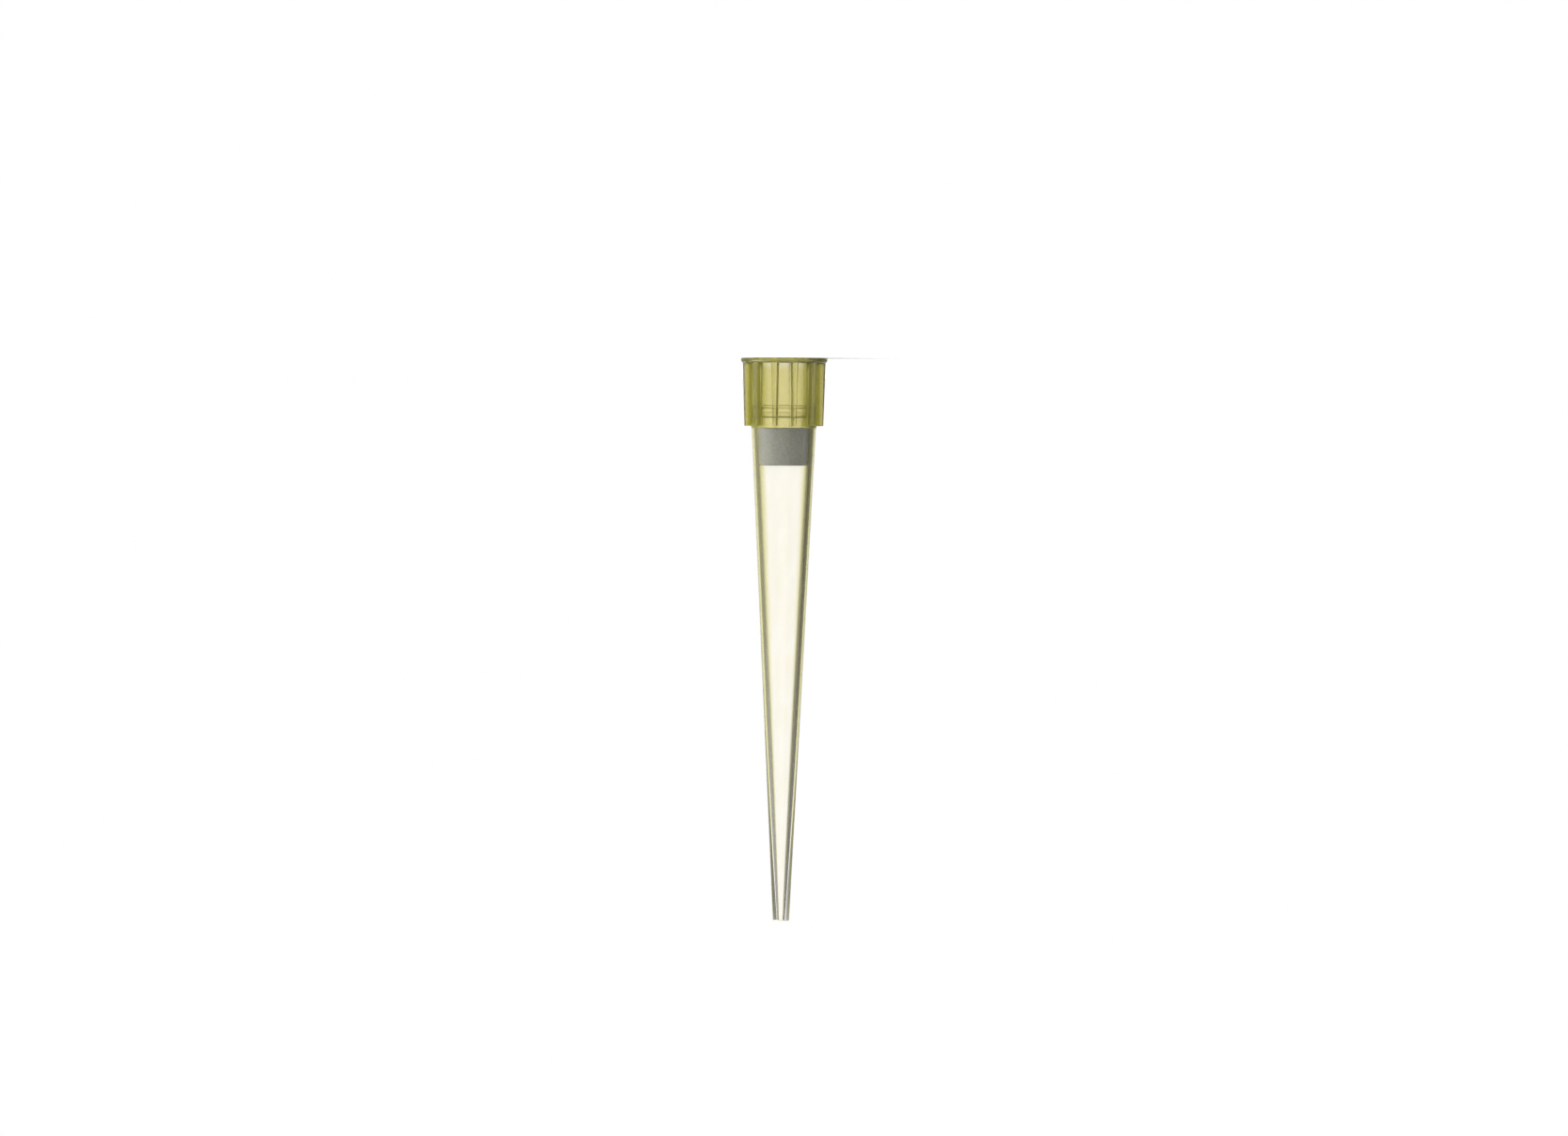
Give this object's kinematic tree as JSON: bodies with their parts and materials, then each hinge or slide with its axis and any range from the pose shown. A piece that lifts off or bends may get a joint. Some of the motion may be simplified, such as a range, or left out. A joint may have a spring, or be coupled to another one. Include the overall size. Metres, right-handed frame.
{
  "type": "pipette tip",
  "caption": "Tapered filter pipette tip: a translucent yellow moulding with a ribbed collar and a flanged mouth, and a grey sintered plug wedged in its bore.",
  "frame": {"origin": "centre of the mouth rim, which is the plane the tip stands on", "axes": "+Z along the tip's axis, from the mouth up to the orifice; the gap between two grip ribs faces -Y"},
  "size_m": [0.0078, 0.0078, 0.05],
  "materials": {
    "tip_plastic": "translucent yellow polypropylene, glossy barrel and slightly hazy collar",
    "filter_bead": "grey sintered polyethylene beads, matte and finely mottled"
  },
  "bodies": {
    "root": {"tip_body": "tip_plastic", "filter_plug": "filter_bead"}
  },
  "joints": []
}
